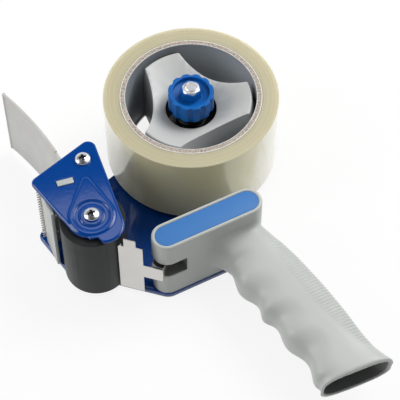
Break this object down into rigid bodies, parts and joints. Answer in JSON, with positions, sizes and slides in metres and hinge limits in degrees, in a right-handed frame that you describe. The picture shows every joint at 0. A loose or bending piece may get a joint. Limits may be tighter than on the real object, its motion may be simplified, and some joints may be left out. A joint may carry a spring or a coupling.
{
  "type": "packing tape dispenser",
  "caption": "Hand-held pistol-grip tape dispenser with braked hub, rubber roller, toothed blade and wiper flap.",
  "frame": {"origin": "the hub's axis on the surface that the base plate rests on", "axes": "+Z along the hub's axis, up through the roll; -Y towards the grip; -X towards the blade"},
  "size_m": [0.2195, 0.2263, 0.0642],
  "materials": {
    "blue_paint": "gloss enamel",
    "grey_plastic": "fine moulded",
    "pad_blue": "satin insert",
    "dark_rubber": "ground",
    "core_plastic": "moulded",
    "bush_nylon": "turned",
    "zinc_steel": "zinc plated",
    "blade_steel": "ground",
    "spring_steel": "rolled",
    "knob_plastic": "moulded",
    "tape_film": "clear film over adhesive",
    "cardboard": "wound grey board"
  },
  "bodies": {
    "frame": {"base_plate": "blue_paint", "top_plate": "blue_paint", "spacer_post": "zinc_steel", "spacer_screws": "zinc_steel", "roller_axle": "zinc_steel", "axle_screws": "zinc_steel", "blade_holder": "grey_plastic", "blade": "blade_steel", "blade_rivets": "zinc_steel", "hub_stud": "zinc_steel", "hub_thrust_washer": "bush_nylon", "tension_spring": "spring_steel", "pressure_washer": "core_plastic", "handle": "grey_plastic", "handle_pad": "pad_blue", "handle_screws": "zinc_steel", "tongue_pin": "zinc_steel"},
    "roller": {"roller_core": "core_plastic", "roller_sleeve": "dark_rubber", "roller_bushes": "bush_nylon"},
    "hub": {"hub": "grey_plastic", "hub_bush": "bush_nylon", "friction_washer": "core_plastic"},
    "roll": {"tape_core": "cardboard", "tape_roll": "tape_film"},
    "knob": {"knob": "knob_plastic", "lock_nut": "zinc_steel"},
    "tongue": {"tongue": "spring_steel", "tongue_spring": "spring_steel"},
    "wiper": {"wiper_flap": "grey_plastic"}
  },
  "joints": [
    {"name": "roller_spin", "type": "hinge", "parent": "frame", "child": "roller", "pos_m": [-0.054, -0.084, 0.03], "axis": [0, 0, 1], "continuous": true},
    {"name": "hub_spin", "type": "hinge", "parent": "frame", "child": "hub", "pos_m": [0, 0, 0.03], "axis": [0, 0, 1], "continuous": true},
    {"name": "roll_lift", "type": "slide", "parent": "hub", "child": "roll", "axis": [0, 0, 1], "range_m": [0, 0.06]},
    {"name": "knob_turn", "type": "hinge", "parent": "frame", "child": "knob", "pos_m": [0, 0, 0.05], "axis": [0, 0, 1], "range_deg": [-360, 360]},
    {"name": "tongue_swing", "type": "hinge", "parent": "frame", "child": "tongue", "pos_m": [-0.00866, -0.09025, 0.03], "axis": [0, 0, 1], "range_deg": [0, 16], "stiffness_Nm_per_rad": 0.03, "springref_deg": -9.74},
    {"name": "wiper_bend", "type": "hinge", "parent": "frame", "child": "wiper", "pos_m": [-0.0663, -0.0576, 0.03], "axis": [0, 0, 1], "range_deg": [-24, 0], "stiffness_Nm_per_rad": 0.05, "springref_deg": 2.86}
  ]
}
